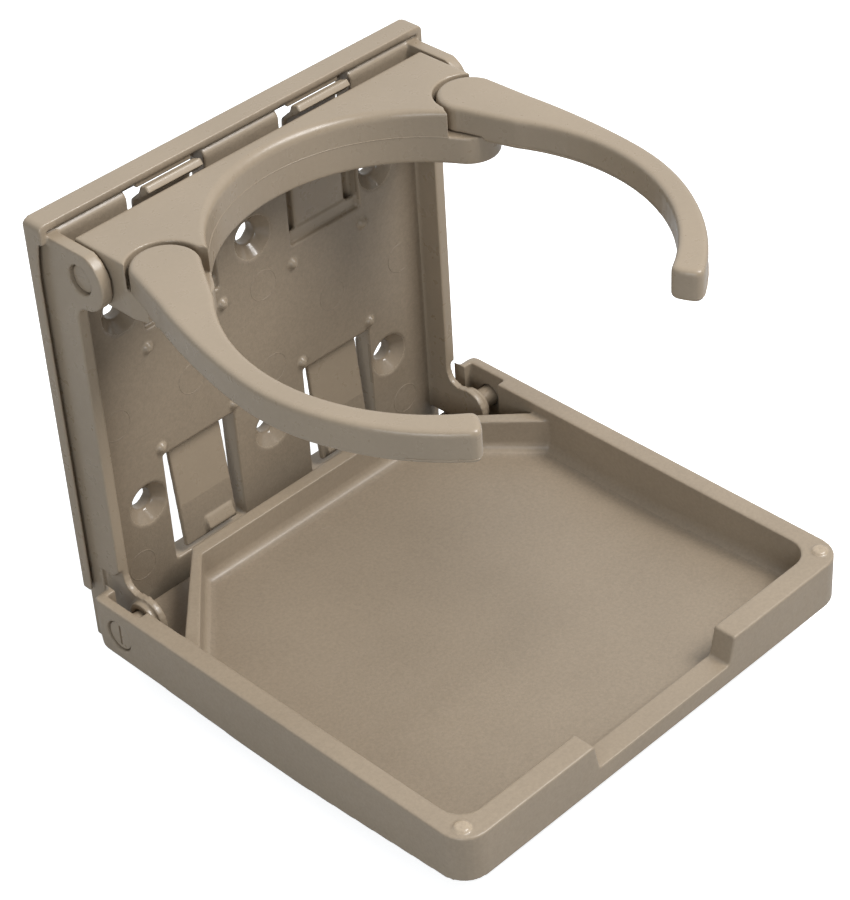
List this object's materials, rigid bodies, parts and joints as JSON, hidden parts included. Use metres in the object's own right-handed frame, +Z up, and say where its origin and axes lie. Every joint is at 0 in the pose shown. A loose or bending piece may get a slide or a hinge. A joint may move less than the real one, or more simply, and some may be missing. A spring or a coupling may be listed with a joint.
{
  "type": "folding drink holder",
  "caption": "Fold-flat drink holder: screw-on back plate, hinged yoke with two swinging arms that ring a cup, and a hinged tray below.",
  "frame": {"origin": "centre of the back plate's flat mounting face", "axes": "+Y out of the mounting face into the wall, so the cup side faces -Y; +Z up; +X to the right when facing the wall"},
  "size_m": [0.107, 0.1102, 0.0994],
  "materials": {
    "back_plate": "fine texture",
    "tray": "satin",
    "yoke": "satin",
    "arm": "satin",
    "pin": "satin",
    "steel": "plated"
  },
  "bodies": {
    "plate": {"back_plate": "back_plate"},
    "yoke_frame": {"yoke": "yoke", "yoke_pin_left": "pin", "yoke_pin_right": "pin", "pivot_screw_left": "steel", "pivot_screw_right": "steel", "pivot_washer_left": "steel", "pivot_washer_right": "steel"},
    "left_arm_body": {"left_arm": "arm"},
    "right_arm_body": {"right_arm": "arm"},
    "tray_body": {"tray": "tray", "tray_pin_left": "pin", "tray_pin_right": "pin"}
  },
  "joints": [
    {"name": "yoke_fold", "type": "hinge", "parent": "plate", "child": "yoke_frame", "pos_m": [0, -0.0129, 0.0329], "axis": [1, 0, 0], "range_deg": [0, 35]},
    {"name": "tray_fold", "type": "hinge", "parent": "plate", "child": "tray_body", "pos_m": [0, -0.0165, -0.04535], "axis": [-1, 0, 0], "range_deg": [0, 15]},
    {"name": "left_arm_swing", "type": "hinge", "parent": "yoke_frame", "child": "left_arm_body", "pos_m": [-0.03855, -0.0275, 0.03884], "axis": [0, 0, 1], "range_deg": [-5, 26]},
    {"name": "right_arm_swing", "type": "hinge", "parent": "yoke_frame", "child": "right_arm_body", "pos_m": [0.03855, -0.0275, 0.03884], "axis": [0, 0, -1], "range_deg": [-18, 12]}
  ]
}
